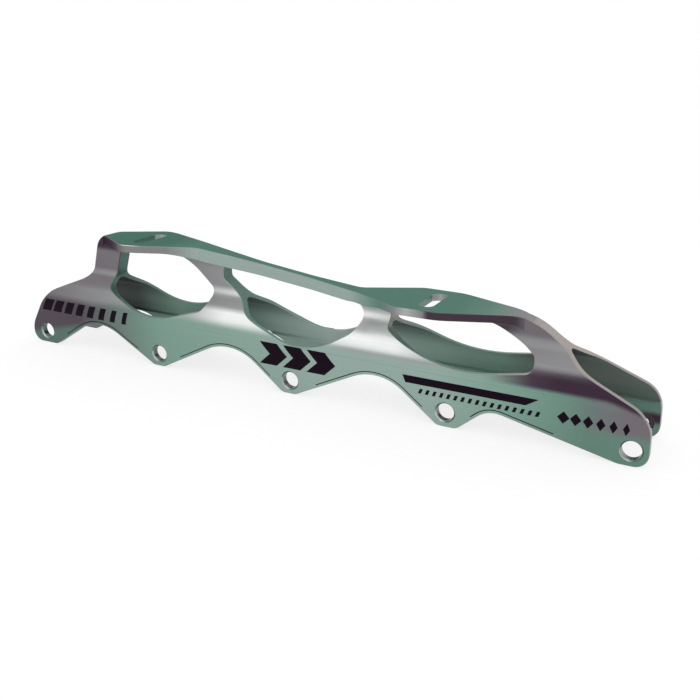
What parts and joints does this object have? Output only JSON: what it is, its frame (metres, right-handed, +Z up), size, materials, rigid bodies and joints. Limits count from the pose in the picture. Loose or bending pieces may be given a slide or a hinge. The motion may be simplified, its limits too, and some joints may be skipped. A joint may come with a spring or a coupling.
{
  "type": "inline skate frame",
  "caption": "Bare one-piece inline speed skate frame, machined from an aluminium extrusion, with a wheel channel, side windows, axle holes and slotted heel and toe pads.",
  "frame": {"origin": "centre of the frame's length and width, at the bottom of the axle lobes", "axes": "+X towards the toe, +Y to the wall with the threaded inserts, +Z up towards the boot"},
  "size_m": [0.3461, 0.0396, 0.0649],
  "materials": {
    "body": "satin green anodised",
    "insert": "turned, dark"
  },
  "bodies": {
    "root": {"frame_body": "body", "axle_insert_1": "insert", "axle_insert_2": "insert", "axle_insert_3": "insert", "axle_insert_4": "insert", "axle_insert_5": "insert"}
  },
  "joints": []
}
